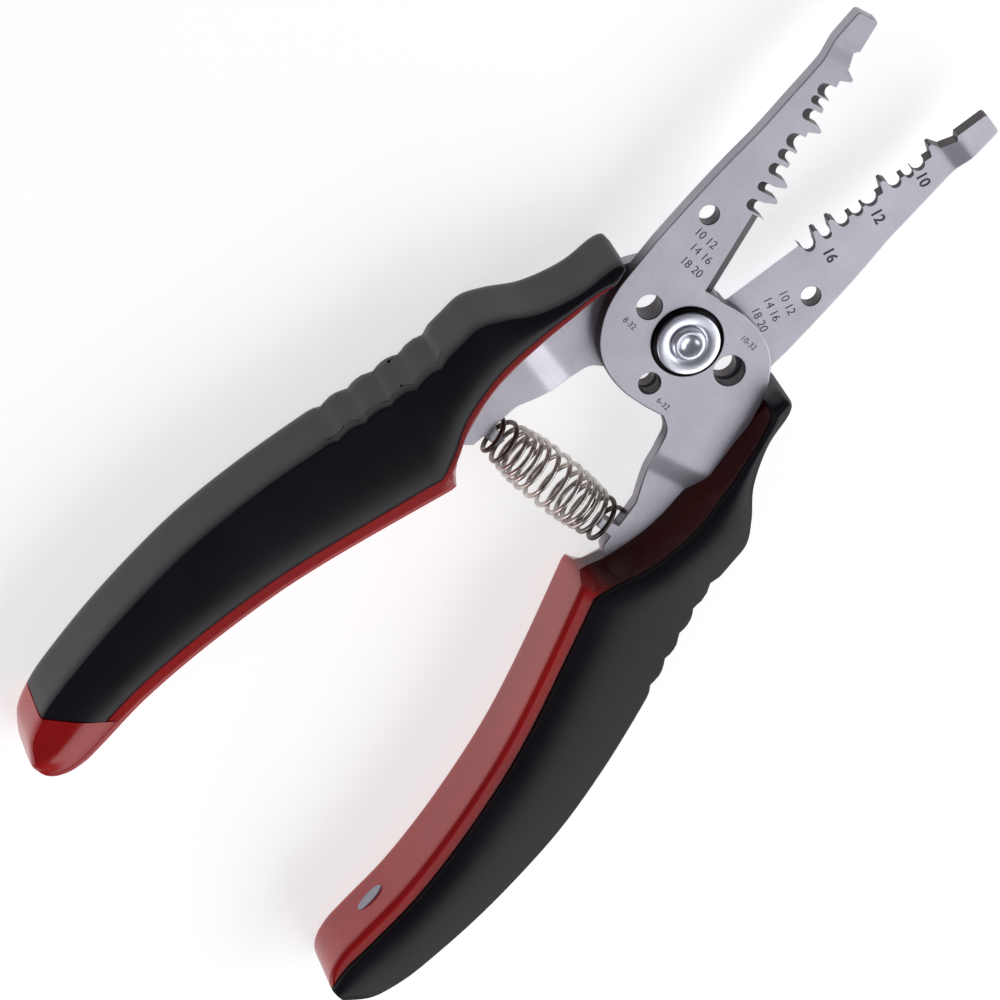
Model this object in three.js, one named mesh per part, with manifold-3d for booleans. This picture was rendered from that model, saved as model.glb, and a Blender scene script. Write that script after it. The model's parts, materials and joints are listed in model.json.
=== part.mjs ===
// Hand wire stripper with two crossed steel levers, a return spring and two-shot handles.
// Units are millimetres. +Y points to the nose, +Z up; the tool lies flat on its handles, jaws open.
// Both levers are one stamping: the second is the first turned over about the tool's long axis.
// A lever is drawn in its closed frame: pivot at the origin, jaw on -X, handle on +X, and the
// plane where the two plates meet at z = 0. The levers then open by OPEN_HALF each.
import * as THREE from 'three';
import { mergeVertices } from 'three/addons/utils/BufferGeometryUtils.js';
import Module from 'manifold-3d';

const wasm = await Module();
wasm.setup();

// ---- driving dimensions ----
const OPEN_HALF = THREE.MathUtils.degToRad(12); // each lever's turn from closed to open
const PLATE_T = 3.0; // thickness of a blade plate
const PLATE_GAP = 0.15; // half the gap between the two plates
const MID_SHIFT = PLATE_GAP + PLATE_T / 2; // offset of a plate's mid plane from the meeting plane
const CLEAR = 0.3; // gap between a moulding and what it holds
const NOSE_Y = 62; // nose tip
const NOSE_BEND = [52.6, 55.9]; // start and end of the joggle behind the nose pads
const SHANK_BEND = [-19.2, -23.2]; // start and end of the joggle ahead of the handle
const EDGE_X = -0.9; // jaw edge between the guide teeth
const TOOTH_X = 0.7; // reach of a guide tooth past the centre line
const TOOTH_Y = [51.5, 41.5, 30.8, 27.7]; // guide teeth, nose first
const NOTCH_DEPTH_X = -2.0; // bottom of every stripping notch
const NOTCHES = [[48.1, 1.15], [46.0, 0.75], [43.3, 1.05], [38.3, 1.3], [35.5, 0.95],
  [32.6, 1.05], [29.1, 0.85], [25.6, 1.05]]; // [y, radius], nose first
const NOTCH_LAND = 0.5; // straight wall left under each notch's countersink
const NOTCH_FLARE = 1.9; // how far a countersink widens its notch at the outer face
const BLADE_X = 0.35; // cutting edge
const BLADE_Y = [9, 24.2]; // cutting edge from throat to heel
const BLADE_GRIND = 1.6; // width of the grind on the outer face
const LOOP_HOLE = [-8.6, 20.8, 1.7]; // x, y, radius of the wire looping hole
const SHEAR_R = 9.4; // bolt shear holes: distance from the pivot
const SHEAR_HOLES = [[165.2, 2.2], [-101.3, 1.9], [-7.8, 2.7]]; // [angle in degrees, radius]
const BOLT_R = 3.0; // pivot bolt shank
const BOLT_FIT = 0.08; // running clearance of the shank in the lower lever and the fittings
const RECESS = [6.2, 0.9]; // radius and depth of the recess for the washer in each outer face
const WASHER_R = 5.8;
const WASHER_T = 0.4;
const NUT_R = 4.9;
const NUT_H = 1.25;
const HEAD_R = 5.3;
const HEAD_H = 1.6;
const SEAT_R = 36.0; // spring seats: distance from the pivot
const SEAT_HALF = THREE.MathUtils.degToRad(24.2); // seat's angle from the centre line, jaws open
const SPRING_TURNS = 14;
const SPRING_WIRE_R = 0.42;
const SPRING_END_R = [2.9, 3.4]; // mean coil radius at the left and the right end
const SPRING_MID_R = 4.6; // mean coil radius at the belly
const SPUR_HALF = 1.2; // half width of the spur that centres the spring
const SPUR_LEN = 3.2;
const HANDLE_HALF_Z = 9; // half the handle's thickness; the tool rests on it
const CORE_HALF_Z = 7.2;
const BAND = 2.7; // width of core that shows along the inner edge
const CAP_LINE = [[8, -114.5], [40, -142]]; // the left handle's core covers the end below this line
const SWEEP_FROM = -44; // where a handle's extra outward sweep starts
const RIGHT = { cap: false, sweep: 0 }; // sweep: how far the end stands further out than drawn
const LEFT = { cap: true, sweep: 2.6 };
const BADGE = { y: -112.5, length: 5.6, width: 3.0, depth: 0.5 };

const STEEL = [0xb9b5c0, 0.35, 0.9];
const ZINC = [0xd2d4dc, 0.22, 1.0];
const BLACK_STEEL = [0x1d1b1e, 0.5, 0.8];
const SPRING_STEEL = [0xb5aaa4, 0.3, 1.0];
const BLACK_RUBBER = [0x24212d, 0.6, 0.0];
const RED_PLASTIC = [0xa20505, 0.22, 0.0];
const BADGE_GREY = [0x8f8f98, 0.4, 0.1];

// ---- small helpers ----
function solidOf(geometry) {
  const bare = geometry.index ? geometry.toNonIndexed() : geometry.clone();
  bare.deleteAttribute('normal');
  bare.deleteAttribute('uv');
  const merged = mergeVertices(bare, 1e-5);
  return new wasm.Manifold(new wasm.Mesh({
    numProp: 3,
    vertProperties: new Float32Array(merged.attributes.position.array),
    triVerts: new Uint32Array(merged.index.array),
  }));
}

function geometryOf(solid) {
  const mesh = solid.getMesh();
  const geometry = new THREE.BufferGeometry();
  geometry.setAttribute('position', new THREE.BufferAttribute(new Float32Array(mesh.vertProperties), 3));
  geometry.setIndex(new THREE.BufferAttribute(new Uint32Array(mesh.triVerts), 1));
  return geometry;
}

function named(name, geometry, [color, roughness, metalness]) {
  const material = new THREE.MeshStandardMaterial({ color, roughness, metalness });
  const mesh = new THREE.Mesh(geometry, material);
  mesh.name = name;
  return mesh;
}

const vec = ([x, y]) => new THREE.Vector2(x, y);
const polar = (radius, angle) => [radius * Math.cos(angle), radius * Math.sin(angle)];

function smooth(points, divisions) {
  return new THREE.SplineCurve(points.map(vec)).getPoints(divisions).map((p) => [p.x, p.y]);
}

function arc(cx, cy, radius, from, to, divisions) {
  return Array.from({ length: divisions + 1 }, (_, i) => {
    const [x, y] = polar(radius, THREE.MathUtils.degToRad(from + ((to - from) * i) / divisions));
    return [cx + x, cy + y];
  });
}

// a closed outline raised from z = low to z = high
function prism(outline, low, high) {
  const geometry = new THREE.ExtrudeGeometry(new THREE.Shape(outline.map(vec)), {
    depth: high - low, bevelEnabled: false,
  });
  return solidOf(geometry.translate(0, 0, low));
}

// an outline with its top and bottom edges rolled in by [inset, height] over the given steps
function rolledSlab(outline, halfZ, [inset, height], steps) {
  const geometry = new THREE.ExtrudeGeometry(new THREE.Shape(outline.map(vec)), {
    depth: 2 * (halfZ - height), bevelEnabled: true, bevelSize: inset, bevelThickness: height,
    bevelOffset: -inset, bevelSegments: steps,
  });
  return solidOf(geometry.translate(0, 0, height - halfZ));
}

function turned(profile, segments) {
  return new THREE.LatheGeometry(profile.map(vec), segments).rotateX(Math.PI / 2);
}

function rod(x, y, radius, low, high, segments = 28) {
  const geometry = new THREE.CylinderGeometry(radius, radius, high - low, segments);
  return solidOf(geometry.rotateX(Math.PI / 2).translate(x, y, (low + high) / 2));
}

// ---- blade plate ----
// the sheet's own side view: flat at the pivot, stepped to the mid plane at the nose and the tang
function bentSheet(grow) {
  const half = PLATE_T / 2 + grow;
  const line = [[80, 0], [NOSE_BEND[1], 0], [NOSE_BEND[0], MID_SHIFT], [SHANK_BEND[0], MID_SHIFT],
    [SHANK_BEND[1], 0], [-110, 0]];
  const upper = line.map(([y, z]) => [y, z + half]);
  const lower = line.map(([y, z]) => [y, z - half]).reverse();
  const geometry = new THREE.ExtrudeGeometry(new THREE.Shape([...upper, ...lower].map(vec)), {
    depth: 80, bevelEnabled: false,
  });
  // the shape's x runs along Y and its y along Z; the sheet's width runs along X
  const place = new THREE.Matrix4().set(0, 0, 1, -40, 1, 0, 0, 0, 0, 1, 0, 0, 0, 0, 0, 1);
  return solidOf(geometry.applyMatrix4(place));
}

function toothedEdge() {
  const points = [];
  for (const y of TOOTH_Y) {
    points.push([EDGE_X, y + 1.3], [TOOTH_X, y + 0.25], [TOOTH_X, y - 0.25], [EDGE_X - 0.3, y - 0.9]);
  }
  return points;
}

// the seat that a spring end bears on, and the spur inside the coil, on the shank's inner edge
function seatAndSpur() {
  const [seatX, seatY] = polar(SEAT_R, SEAT_HALF - OPEN_HALF - Math.PI / 2);
  const lean = OPEN_HALF / 2;
  const along = [-Math.cos(lean), Math.sin(lean)];
  const across = [along[1], -along[0]];
  const at = (a, c) => [seatX + a * along[0] + c * across[0], seatY + a * along[1] + c * across[1]];
  return [at(0, 4.2), at(0, SPUR_HALF), at(SPUR_LEN, SPUR_HALF * 0.7), at(SPUR_LEN, -SPUR_HALF * 0.7),
    at(0, -SPUR_HALF), at(0, -3.4)];
}

function tangOutline(grow) {
  return [[16.6 + grow, 0], [17.6 + grow, -4], [17.9 + grow, -12], [19.3 + grow, -22],
    [20.4 + grow, -30], [20.4 + grow, -60], [19.2 + grow, -80], [17, -94 - grow], [13, -94 - grow],
    [12.6 - grow, -80], [11.6 - grow, -60], [9.8 - grow, -48], [9 - grow, -40.5]];
}

function plateOutline() {
  const nose = [...arc(-0.75, NOSE_Y - 0.6, 0.6, 90, 0, 3), [-0.15, NOSE_BEND[1] + 0.2],
    [-1.1, NOSE_BEND[1] - 0.4], [EDGE_X, NOSE_BEND[0] + 0.6]];
  const blade = [[EDGE_X, BLADE_Y[1] + 0.4], [BLADE_X, BLADE_Y[1]], [BLADE_X, BLADE_Y[0]]];
  const bossRight = smooth([[1.4, 8.7], [6, 8.4], [11, 6.7], [14.6, 3.8], [16.6, 0]], 8);
  const shank = seatAndSpur().reverse();
  const inner = smooth([[8.2, -29], [7.0, -24.5], [5.9, -19], [5.4, -15.4], [3.4, -13.3]], 8);
  const bossLeft = smooth([[0, -13.2], [-5, -12.5], [-9.6, -10.6], [-13, -7.4], [-15.1, -2.6],
    [-15.6, 2.4], [-15, 7.4]], 14);
  const back = smooth([[-14.2, 13], [-12.4, 22], [-10.6, 30], [-8.8, 37], [-7.2, 45], [-6, 51],
    [-5.2, 56]], 8);
  const tip = arc(-3.5, NOSE_Y - 0.7, 0.7, 180, 90, 3);
  return [...nose, ...toothedEdge(), ...blade, ...bossRight, ...tangOutline(0).slice(1), ...shank,
    ...inner, ...bossLeft, ...back, ...tip];
}

function notchCutter(y, radius) {
  const outer = MID_SHIFT + PLATE_T / 2;
  const top = outer + 0.5;
  const flare = NOTCH_FLARE * ((top - NOTCH_LAND) / (outer - NOTCH_LAND));
  const profile = [[0, -1], [radius, -1], [radius, NOTCH_LAND], [radius + flare, top], [0, top]];
  return solidOf(turned(profile, 20).translate(NOTCH_DEPTH_X + radius, y, 0));
}

// wedge ground off the outer face along the cutting edge
function bladeGrind() {
  const outer = MID_SHIFT + PLATE_T / 2 + 0.4;
  const reach = (BLADE_GRIND * (outer - 0.5)) / (outer - 0.9);
  const section = [[BLADE_X, 0.5], [BLADE_X + 2, 0.5], [BLADE_X + 2, outer], [BLADE_X - reach, outer]];
  const geometry = new THREE.ExtrudeGeometry(new THREE.Shape(section.map(vec)), {
    depth: BLADE_Y[1] - BLADE_Y[0] + 1.2, bevelEnabled: false,
  });
  return solidOf(geometry.rotateX(Math.PI / 2).translate(0, BLADE_Y[1] + 1.2, 0));
}

function bladePlate() {
  let plate = prism(plateOutline(), -8, 8).intersect(bentSheet(0));
  for (const [y, radius] of NOTCHES) plate = plate.subtract(notchCutter(y, radius));
  plate = plate.subtract(bladeGrind());
  plate = plate.subtract(rod(LOOP_HOLE[0], LOOP_HOLE[1], LOOP_HOLE[2], -8, 8));
  for (const [angle, radius] of SHEAR_HOLES) {
    const [x, y] = polar(SHEAR_R, THREE.MathUtils.degToRad(angle));
    plate = plate.subtract(rod(x, y, radius, -8, 8));
  }
  const face = MID_SHIFT + PLATE_T / 2;
  plate = plate.subtract(rod(0, 0, RECESS[0], face - RECESS[1], 8, 48));
  return plate.subtract(rod(0, 0, BOLT_R + BOLT_FIT, -8, 8, 48));
}

// ---- pivot ----
const FLOOR_Z = PLATE_GAP + PLATE_T - RECESS[1]; // floor of the recess in a plate's outer face
const STACK_Z = FLOOR_Z + CLEAR + WASHER_T + CLEAR; // where the nut or the bolt head starts

function pivotBolt() {
  const low = -STACK_Z;
  const top = STACK_Z + NUT_H;
  return turned([[0, low - HEAD_H], [HEAD_R - 1.6, low - HEAD_H], [HEAD_R - 0.4, low - HEAD_H + 0.6],
    [HEAD_R, low - 0.4], [HEAD_R, low], [BOLT_R, low], [BOLT_R, top - 0.3], [BOLT_R - 0.5, top + 0.2],
    [BOLT_R - 1.2, top + 0.5], [0.9, top + 0.2], [0, top]], 48);
}

function pivotNut() {
  const high = STACK_Z + NUT_H;
  const bore = BOLT_R + BOLT_FIT;
  return turned([[bore, STACK_Z], [NUT_R, STACK_Z], [NUT_R, high - 0.6], [NUT_R - 0.6, high],
    [bore + 0.4, high], [bore, high - 0.3], [bore, STACK_Z]], 48);
}

function pivotWasher(side) {
  const near = side * (FLOOR_Z + CLEAR);
  const [low, high] = side > 0 ? [near, near + WASHER_T] : [near - WASHER_T, near];
  const bore = BOLT_R + BOLT_FIT;
  return turned([[bore, low], [WASHER_R, low], [WASHER_R, high], [bore, high], [bore, low]], 48);
}

// ---- return spring ----
class BarrelHelix extends THREE.Curve {
  getPoint(t, target = new THREE.Vector3()) {
    const reach = SEAT_R * Math.sin(SEAT_HALF) - SPRING_WIRE_R - CLEAR;
    const ends = SPRING_END_R[0] + (SPRING_END_R[1] - SPRING_END_R[0]) * t;
    const radius = ends + (SPRING_MID_R - ends) * Math.sin(Math.PI * t) ** 0.8;
    const closed = 0.055; // the end coils lie closer than the rest
    const axial = t + (closed * Math.sin(4 * Math.PI * t)) / 2;
    const angle = 2 * Math.PI * SPRING_TURNS * t;
    return target.set((2 * axial - 1) * reach, radius * Math.cos(angle), radius * Math.sin(angle));
  }
}

function returnSpring() {
  const wire = new THREE.Shape(arc(0, 0, SPRING_WIRE_R, 0, 300, 5).map(vec));
  const geometry = new THREE.ExtrudeGeometry(wire, {
    steps: SPRING_TURNS * 12, extrudePath: new BarrelHelix(), bevelEnabled: false,
  });
  return geometry.translate(0, -SEAT_R * Math.cos(SEAT_HALF), 0);
}

// ---- handles ----
const OUTER = [[21.2, -1.4], [21.0, -9], [22.6, -16], [25.6, -21.5], [27.2, -25.8], [26.6, -30.5],
  [25.7, -37], [26.0, -46], [26.7, -60], [26.8, -72], [26.0, -84], [24.1, -95], [21.3, -106],
  [18, -116], [15.7, -121.5], [12.6, -126.2], [8.6, -128.8], [5.2, -128.2], [3.4, -125.6], [3.4, -121.5]];
const INNER = [[4.4, -117], [6.8, -107], [8.3, -95], [8.9, -82], [8.6, -72], [7.4, -60], [5.6, -46.5]];
const THROAT = [[5.4, -43.6], [9.4, -38.6], [13.0, -30.5], [14.8, -21], [16.1, -10], [16.9, -2.5]];
const TIP = [[17.7, -0.2], [18.8, 0.8], [20.4, 0.2]];
const SEAM = [[19.6, 3], [18.9, -8], [18.6, -19], [17.6, -27.5], [14.6, -36], [11, -41.2], [8.4, -45.4]];

function swept(points, sweep) {
  const lowest = SWEEP_FROM - Math.min(...OUTER.map(([, y]) => y));
  return points.map(([x, y]) => [x + sweep * Math.max(0, (SWEEP_FROM - y) / lowest) ** 2, y]);
}

function handleOutline(sweep) {
  return [...smooth(swept(OUTER, sweep), 44), ...smooth(swept(INNER, sweep), 12), ...smooth(THROAT, 10),
    ...TIP];
}

// the core's visible band, from the guard tip along the throat and the inner edge to the end
function bandRegion(grow, { cap, sweep }) {
  const seam = smooth(SEAM, 12).map(([x, y]) => [x + grow, y - grow * 0.6]);
  const inner = smooth(swept([...INNER].reverse(), sweep), 12);
  const innerSeam = inner.map(([x, y]) => [x + BAND + grow, y]);
  const end = cap ? CAP_LINE.map(([x, y]) => [x + sweep + grow, y + grow])
    : [[5.3 + grow, -124], [5.3 + grow, -142]];
  return [...seam, ...innerSeam.slice(0, -1), ...end, [-20, -142], [-20, 10], [19.6 + grow, 10]];
}

// the core's hidden spine that carries the tang and the grip
function spineOutline(grow, sweep) {
  const outline = [[18, -6], [22.4 + grow, -24], [22.4 + grow, -62], [21.2 + grow, -82],
    [18.4 + grow, -100], [12.5 + grow, -116 - grow], [7, -116 - grow], [9.4, -60], [9, -46], [15, -30]];
  return swept(outline, sweep);
}

function tangPocket() {
  const mouth = [[7.8, -41.2], [7, -36], [10, -24], [12, 4], [17.2, 4]];
  const region = prism([...tangOutline(CLEAR), ...mouth], -8, 8);
  return region.intersect(bentSheet(CLEAR)).add(seatRelief());
}

// room in the throat for the spring's end coils and the spur
function seatRelief() {
  const [x, y] = polar(SEAT_R, SEAT_HALF - OPEN_HALF - Math.PI / 2);
  const geometry = new THREE.CylinderGeometry(5.2, 5.2, 9, 24).rotateZ(Math.PI / 2 - OPEN_HALF);
  return solidOf(geometry.translate(x - 1.5, y, 0));
}

// the whole handle seen from above, raised straight up and rolled over along the back and both ends
function rolledBack(sweep) {
  const outer = smooth(swept(OUTER.slice(1, -3), sweep), 40);
  const back = [[-30, 0.9], [21.1, 0.9], ...outer, [4, -129], [-30, -129]];
  return rolledSlab(back, HANDLE_HALF_Z, [4.2, 4.6], 4);
}

// the throat's wall leans back from the plate to the seam; the rest of this slab lies past the handle
function leaningThroat() {
  const front = [[2, -60], [3.4, -50], ...smooth(THROAT, 10), [17.2, 12], [60, 12], [60, -60]];
  return rolledSlab(front, CORE_HALF_Z, [3.0, 5.2], 3);
}

function handleCore(side) {
  const outline = handleOutline(side.sweep);
  const band = prism(bandRegion(0, side), -12, 12);
  const lower = prism([[-30, -45.4], [60, -45.4], [60, -150], [-30, -150]], -12, 12);
  const upper = prism([[-30, -45.4], [-30, 10], [60, 10], [60, -45.4]].reverse(), -12, 12);
  const walled = rolledSlab(outline, CORE_HALF_Z, [1.2, 1.2], 2).intersect(lower);
  const scooped = leaningThroat().intersect(prism(outline, -12, 12)).intersect(upper);
  const shown = walled.add(scooped).intersect(band).intersect(rolledBack(side.sweep));
  return shown.add(prism(spineOutline(0, side.sweep), -4.4, 4.4)).subtract(tangPocket());
}

function handleGrip(side) {
  const body = rolledBack(side.sweep).intersect(prism(handleOutline(side.sweep), -12, 12));
  const spineRoom = prism(spineOutline(CLEAR, side.sweep), -4.4 - CLEAR, 4.4 + CLEAR);
  const grip = body.subtract(prism(bandRegion(CLEAR, side), -12, 12)).subtract(spineRoom);
  return grip.subtract(tangPocket());
}

// blank oval plate let into the right handle's inner face
function badgeBlank(grow) {
  const x = THREE.MathUtils.mapLinear(BADGE.y, -107, -117, 6.8, 4.4);
  const lean = Math.atan2(2.4, 10);
  const geometry = new THREE.CylinderGeometry(1, 1, 2 * BADGE.depth, 28).rotateZ(Math.PI / 2);
  geometry.scale(1, BADGE.length / 2 + grow, BADGE.width / 2 + grow);
  return solidOf(geometry.rotateZ(-lean).translate(x, BADGE.y, 0));
}

// ---- assembly ----
const sheet = geometryOf(bladePlate());
const badgeRoom = badgeBlank(CLEAR);
const rightCore = handleCore(RIGHT).subtract(badgeRoom.translate([CLEAR, 0, 0]));

const upperLever = new THREE.Group();
upperLever.rotation.z = OPEN_HALF;
upperLever.add(
  named('upper_blade', sheet, STEEL),
  named('pivot_bolt', pivotBolt(), ZINC),
  named('pivot_nut', pivotNut(), ZINC),
  named('upper_washer', pivotWasher(1), BLACK_STEEL),
  named('lower_washer', pivotWasher(-1), BLACK_STEEL),
  named('right_core', geometryOf(rightCore), RED_PLASTIC),
  named('right_grip', geometryOf(handleGrip(RIGHT)), BLACK_RUBBER),
  named('right_badge', geometryOf(badgeBlank(0)), BADGE_GREY),
);

const lowerLever = new THREE.Group();
lowerLever.rotation.z = -OPEN_HALF;
const turnedOver = new THREE.Group();
turnedOver.rotation.y = Math.PI;
turnedOver.add(
  named('lower_blade', sheet, STEEL),
  named('left_core', geometryOf(handleCore(LEFT)), RED_PLASTIC),
  named('left_grip', geometryOf(handleGrip(LEFT)), BLACK_RUBBER),
);
lowerLever.add(turnedOver);

const stripper = new THREE.Group();
stripper.add(upperLever, lowerLever, named('return_spring', returnSpring(), SPRING_STEEL));

// the row's origin is the middle of the tool's footprint, on the surface that it lies on
const box = new THREE.Box3().setFromObject(stripper, true);
stripper.position.set(-(box.min.x + box.max.x) / 2, -(box.min.y + box.max.y) / 2, -box.min.z);

export default stripper;
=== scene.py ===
"""The finished look of a hand wire stripper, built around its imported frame.

Every piece is drawn in the closed frame of its lever, in millimetres: the pivot is the origin, the
jaw lies on -X, the handle on +X, and the two blade plates meet at z = 0. Stance then carries it into
the row frame, in metres, with the jaws open.
"""

import json
import logging
import math
from dataclasses import dataclass, field
from enum import Enum
from typing import Any, Sequence

import bmesh
import bpy
import numpy as np
from mathutils import Matrix
from mathutils.geometry import delaunay_2d_cdt


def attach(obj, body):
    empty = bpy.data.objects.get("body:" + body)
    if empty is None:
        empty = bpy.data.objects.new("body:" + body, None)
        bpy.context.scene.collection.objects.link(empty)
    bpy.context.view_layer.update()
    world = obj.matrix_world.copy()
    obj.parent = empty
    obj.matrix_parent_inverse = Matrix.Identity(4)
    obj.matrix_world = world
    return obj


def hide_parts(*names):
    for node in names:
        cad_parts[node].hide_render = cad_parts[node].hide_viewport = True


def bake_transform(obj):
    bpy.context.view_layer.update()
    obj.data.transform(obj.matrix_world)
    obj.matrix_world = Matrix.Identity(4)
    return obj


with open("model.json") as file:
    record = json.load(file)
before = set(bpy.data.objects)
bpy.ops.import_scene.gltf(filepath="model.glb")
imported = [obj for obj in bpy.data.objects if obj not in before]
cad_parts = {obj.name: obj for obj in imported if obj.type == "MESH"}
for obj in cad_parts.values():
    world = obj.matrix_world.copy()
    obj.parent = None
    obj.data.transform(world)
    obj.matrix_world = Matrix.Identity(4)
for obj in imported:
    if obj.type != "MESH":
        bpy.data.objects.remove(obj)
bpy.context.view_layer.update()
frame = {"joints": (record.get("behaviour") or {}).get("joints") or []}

LOG = logging.getLogger("wire_stripper")
MM = 0.001
WELD = 2e-6  # metres; points nearer than this are one point
CORNER = 0.29  # how far the middle of a quarter round stands in, as a share of its radius

Array = np.ndarray
Points = Sequence[tuple[float, float]]


# ---------------------------------------------------------------- shapes


def spline(points: Points, count: int) -> Array:
    """A smooth curve through points: uniform Catmull-Rom, each span a cubic of its four nearest points.

    Args:
        points: the points that the curve passes through.
        count: how many samples to return.

    Returns:
        The samples, count by 2.
    """
    p = np.asarray(points, float)
    padded = np.vstack([p[:1], p, p[-1:]])
    t = np.linspace(0, len(p) - 1, count)
    i = np.minimum(t.astype(int), len(p) - 2)
    w = (t - i)[:, None]
    p0, p1, p2, p3 = (padded[i + k] for k in range(4))
    v1, v2 = (p2 - p0) / 2, (p3 - p1) / 2
    return (2 * p1 - 2 * p2 + v1 + v2) * w**3 + (3 * p2 - 3 * p1 - 2 * v1 - v2) * w**2 + v1 * w + p1


def arc(centre: tuple[float, float], radius: float, start: float, stop: float, count: int) -> Array:
    """Points on a circle from start to stop degrees."""
    a = np.radians(np.linspace(start, stop, count))
    return np.stack([centre[0] + radius * np.cos(a), centre[1] + radius * np.sin(a)], 1)


def resampled(points: Array, step: float | Array, closed: bool) -> Array:
    """The polyline with each side cut into equal parts no longer than its step.

    Args:
        points: the polyline's corners.
        step: the longest side wanted, one number or one for each side.
        closed: whether the last corner joins the first.

    Returns:
        The finer polyline; every old corner is kept.
    """
    ends = np.roll(points, -1, 0) if closed else points[1:]
    starts = points if closed else points[:-1]
    lengths = np.linalg.norm(ends - starts, axis=1)
    parts = np.maximum(1, np.ceil(lengths / step).astype(int))
    side = np.repeat(np.arange(len(starts)), parts)
    first = np.repeat(np.cumsum(parts) - parts, parts)
    w = ((np.arange(len(side)) - first) / parts[side])[:, None]
    finer = starts[side] * (1 - w) + ends[side] * w
    return finer if closed else np.vstack([finer, points[-1:]])


def distance_to(points: Array, line: Array) -> Array:
    """Shortest distance from each point to a polyline: to the foot of the perpendicular on each side."""
    a, b = line[:-1], line[1:]
    d = b - a
    rel = points[:, None, :] - a[None]
    t = np.clip((rel * d).sum(2) / np.maximum((d * d).sum(1), 1e-12), 0, 1)
    return np.linalg.norm(rel - t[..., None] * d, axis=2).min(1)


def inside(points: Array, ring: Array) -> Array:
    """Whether each point lies in a closed ring: a ray to +X crosses the ring an odd number of times."""
    a, b = ring, np.roll(ring, -1, 0)
    x, y = points[:, :1], points[:, 1:]
    spans = (a[:, 1] > y) != (b[:, 1] > y)
    rise = np.where(b[:, 1] == a[:, 1], 1e-12, b[:, 1] - a[:, 1])
    cross = (b[:, 0] - a[:, 0]) * (y - a[:, 1]) / rise + a[:, 0]
    return ((spans & (x < cross)).sum(1) % 2) == 1


def smoothstep(x: Array | float, low: float, high: float) -> Array:
    """0 below low, 1 above high, and 3t^2 - 2t^3 between them."""
    t = np.clip((np.asarray(x, float) - low) / (high - low), 0, 1)
    return t * t * (3 - 2 * t)


class Lever(Enum):
    """Whose frame a mesh is drawn in: the lower lever is the upper one turned over about Y."""

    UPPER = 1
    LOWER = -1
    NEITHER = 0


@dataclass(frozen=True)
class Stance:
    """Where the levers stand in the row frame.

    Args:
        pivot: the pivot's place, in metres.
        half_open: each lever's turn from closed to open, in radians.
    """

    pivot: Array
    half_open: float

    def place(self, points: Array, lever: Lever) -> Array:
        """Carries points from a lever's closed frame, in mm, to the row frame, in metres.

        Args:
            points: n by 3 points.
            lever: the lever that they belong to; on neither, they are only moved to the pivot.

        Returns:
            The placed points.
        """
        if lever is Lever.NEITHER:
            return points * MM + self.pivot
        flip = float(lever.value)
        angle = flip * self.half_open
        x, y, z = points[:, 0] * flip, points[:, 1], points[:, 2] * flip
        c, s = math.cos(angle), math.sin(angle)
        return np.stack([x * c - y * s, x * s + y * c, z], 1) * MM + self.pivot


class Skin:
    """Patches of surface that are welded into one mesh, closed where their edges meet."""

    def __init__(self) -> None:
        """Starts with no patch."""
        self.points: list[Array] = []
        self.faces: list[Array] = []
        self.marks: list[Array] = []
        self.count = 0

    def _add(self, points: Array, faces: Array, marks: Array | float) -> None:
        """Adds points and the faces between them, counted from the first of the points."""
        self.points.append(points)
        self.marks.append(np.broadcast_to(np.asarray(marks, float), len(points)))
        self.faces.append(faces + self.count)
        self.count += len(points)

    def grid(self, points: Array, marks: Array | float = 0.0, closed: bool = True) -> "Skin":
        """Adds a surface given as rows of columns, with a quad between four neighbours.

        Args:
            points: rows by columns by 3.
            marks: a number on each point, for the finish to read.
            closed: whether the last column joins the first.

        Returns:
            This skin.
        """
        rows, columns = points.shape[:2]
        index = np.arange(rows * columns).reshape(rows, columns)
        beside = np.roll(index, -1, 1)
        if not closed:
            index, beside = index[:, :-1], beside[:, :-1]
        quads = np.stack([index[:-1], beside[:-1], beside[1:], index[1:]], -1).reshape(-1, 4)
        flat = marks.reshape(-1) if isinstance(marks, np.ndarray) else marks
        self._add(points.reshape(-1, 3), quads, flat)
        return self

    def cap(self, ring: Array) -> "Skin":
        """Closes a ring with triangles to its middle."""
        n = len(ring)
        i = np.arange(n)
        faces = np.stack([i, (i + 1) % n, np.full(n, n)], 1)
        self._add(np.vstack([ring, ring.mean(0)]), faces, 0.0)
        return self

    def triangles(self, points: Array, faces: Array) -> "Skin":
        """Adds loose triangles."""
        self._add(points, faces, 0.0)
        return self

    def mesh(self, name: str, sharp: float = 40.0) -> bpy.types.Mesh:
        """Welds the patches into a mesh with its faces pointing out.

        Args:
            name: the mesh's name.
            sharp: faces that meet at more than this angle, in degrees, keep a hard edge.

        Returns:
            The mesh, in the units of its points.
        """
        made = bpy.data.meshes.new(name)
        points = np.vstack(self.points)
        made.vertices.add(len(points))
        made.vertices.foreach_set("co", points.astype(np.float32).ravel())
        sizes = np.concatenate([np.full(len(f), f.shape[1]) for f in self.faces])
        loops = np.concatenate([f.ravel() for f in self.faces])
        made.loops.add(len(loops))
        made.loops.foreach_set("vertex_index", loops.astype(np.int32))
        made.polygons.add(len(sizes))
        made.polygons.foreach_set("loop_start", (np.cumsum(sizes) - sizes).astype(np.int32))
        # the marks darken a finish: ground oxide on the steel, and painted shade on the steel's walls, the
        # throat's web and the spring's ends
        attribute = made.attributes.new("worked", "FLOAT", "POINT")
        attribute.data.foreach_set("value", np.concatenate(self.marks).astype(np.float32))
        made.update(calc_edges=True)
        weld(made, WELD / MM)
        soften(made, sharp)
        return made


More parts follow.
